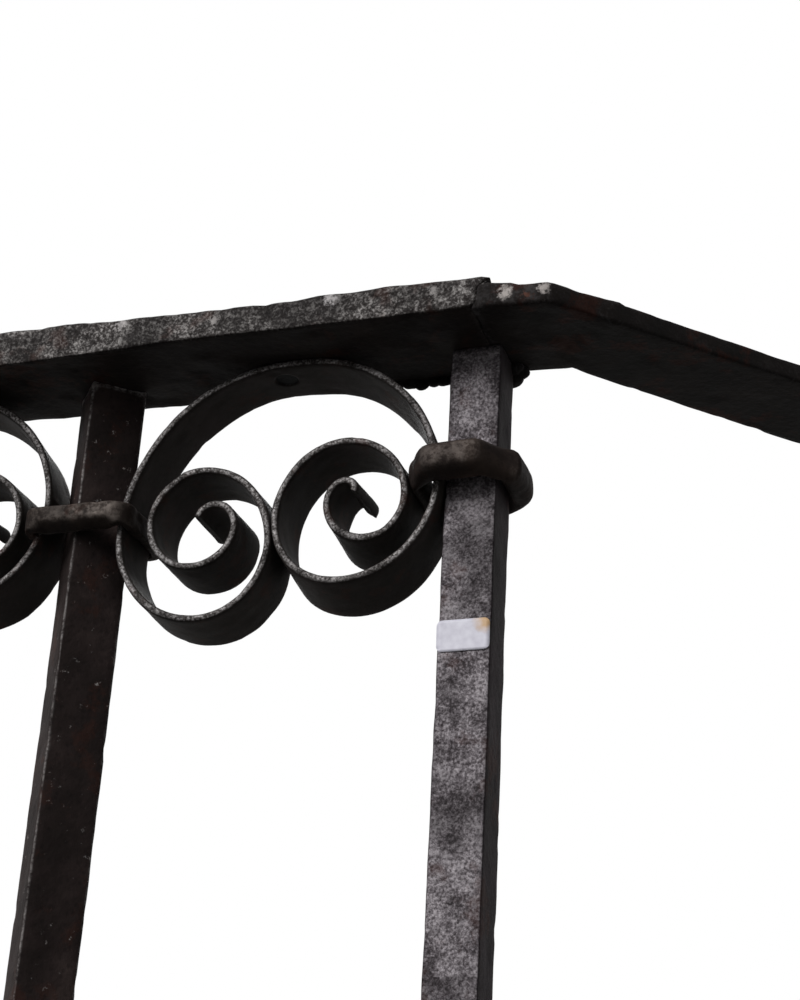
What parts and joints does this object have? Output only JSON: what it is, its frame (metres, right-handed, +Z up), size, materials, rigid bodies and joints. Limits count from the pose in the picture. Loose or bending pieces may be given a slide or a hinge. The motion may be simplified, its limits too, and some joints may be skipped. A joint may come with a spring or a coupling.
{
  "type": "juliet balcony",
  "caption": "Forged iron balcony front of square bars between flat rails, with a ram's-horn scroll in each bay, collared to the bars, and canted rail ends that run back to a wall",
  "frame": {"origin": "middle of the cut wall end of the bottom left return", "axes": "+X along the front to the right seen from the street, +Y towards the wall, +Z up"},
  "size_m": [1.2822, 0.1856, 0.9512],
  "materials": {
    "rails": "hammered, worn grey on the faces and nearly black in the pits",
    "returns": "dark brown with rust at the corner and the cut end",
    "posts": "pitted, mottled grey",
    "bars": "dark brown-grey with bright worn corners",
    "strip": "near black with bright worn edges",
    "collars": "brown-black, rubbed on the outer face"
  },
  "bodies": {
    "root": {"baluster_1": "bars", "baluster_2": "bars", "baluster_3": "bars", "baluster_4": "bars", "baluster_5": "bars", "bottom_collar_1": "collars", "bottom_collar_2": "collars", "bottom_collar_3": "collars", "bottom_collar_4": "collars", "bottom_collar_5": "collars", "bottom_post_loop_left": "collars", "bottom_post_loop_right": "collars", "bottom_rail": "rails", "bottom_return_left": "returns", "bottom_return_right": "returns", "bottom_scroll_1": "strip", "bottom_scroll_2": "strip", "bottom_scroll_3": "strip", "bottom_scroll_4": "strip", "bottom_scroll_5": "strip", "bottom_scroll_6": "strip", "end_post_left": "posts", "end_post_right": "posts", "top_collar_1": "collars", "top_collar_2": "collars", "top_collar_3": "collars", "top_collar_4": "collars", "top_collar_5": "collars", "top_post_loop_left": "collars", "top_post_loop_right": "collars", "top_rail": "rails", "top_return_left": "returns", "top_return_right": "returns", "top_scroll_1": "strip", "top_scroll_2": "strip", "top_scroll_3": "strip", "top_scroll_4": "strip", "top_scroll_5": "strip", "top_scroll_6": "strip"}
  },
  "joints": []
}
